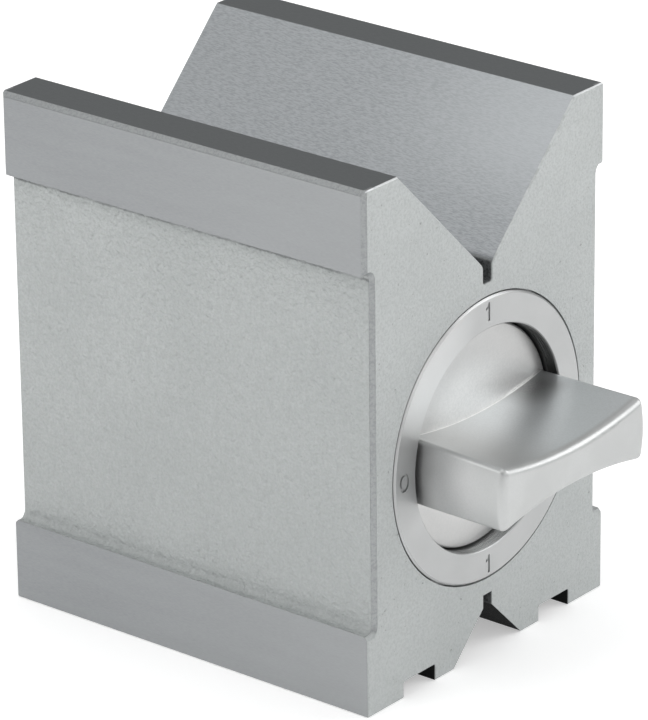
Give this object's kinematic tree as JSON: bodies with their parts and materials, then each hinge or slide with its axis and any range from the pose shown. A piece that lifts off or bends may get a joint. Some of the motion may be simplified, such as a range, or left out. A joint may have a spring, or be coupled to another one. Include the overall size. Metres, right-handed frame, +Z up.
{
  "type": "switchable magnetic v-block",
  "caption": "Switchable magnetic V-block: iron block with a large top V and small base V, side recesses, and a bar knob in a dial ring that turns a magnet rotor on or off.",
  "frame": {"origin": "under the middle of the whole object's box, on the plane of its feet, knob included", "axes": "+Z up, the knob faces -Y, +X to the right seen from the knob side"},
  "size_m": [0.067, 0.0988, 0.096],
  "materials": {
    "block_casting": "light grey blasted casting with ground bands, lands, V and feet",
    "dial_metal": "fine turned, satin, digits engraved",
    "knob_metal": "satin blasted casting",
    "seal_rubber": "matt black",
    "bush_bronze": "turned",
    "pin_steel": "ground",
    "washer_plastic": "natural white",
    "cover_aluminium": "turned",
    "clip_steel": "dark phosphated spring steel",
    "plate_brass": "turned",
    "pole_steel": "turned soft steel",
    "magnet_ferrite": "matt dark grey sintered",
    "filler_aluminium": "milled",
    "screw_steel": "black oxide"
  },
  "bodies": {
    "block": {"housing": "block_casting", "front_ring": "dial_metal", "knob_seal": "seal_rubber", "front_bush": "bush_bronze", "ring_dowel": "pin_steel", "stop_pin": "pin_steel", "thrust_washer": "washer_plastic", "rear_cover": "cover_aluminium", "cover_seal": "seal_rubber", "rear_bush": "bush_bronze", "disc_spring": "pin_steel", "retaining_ring": "clip_steel"},
    "rotor": {"knob": "knob_metal", "drive_pins": "pin_steel", "front_end_plate": "plate_brass", "pole_shoe_upper": "pole_steel", "pole_shoe_lower": "pole_steel", "magnet_front": "magnet_ferrite", "magnet_middle": "magnet_ferrite", "magnet_rear": "magnet_ferrite", "filler_bar_left": "filler_aluminium", "filler_bar_right": "filler_aluminium", "rear_end_plate": "plate_brass", "tie_screws": "screw_steel"}
  },
  "joints": [
    {"name": "knob_turn", "type": "hinge", "parent": "block", "child": "rotor", "pos_m": [0, -0.0306, 0.0405], "axis": [0, -1, 0], "range_deg": [-90, 90]}
  ]
}
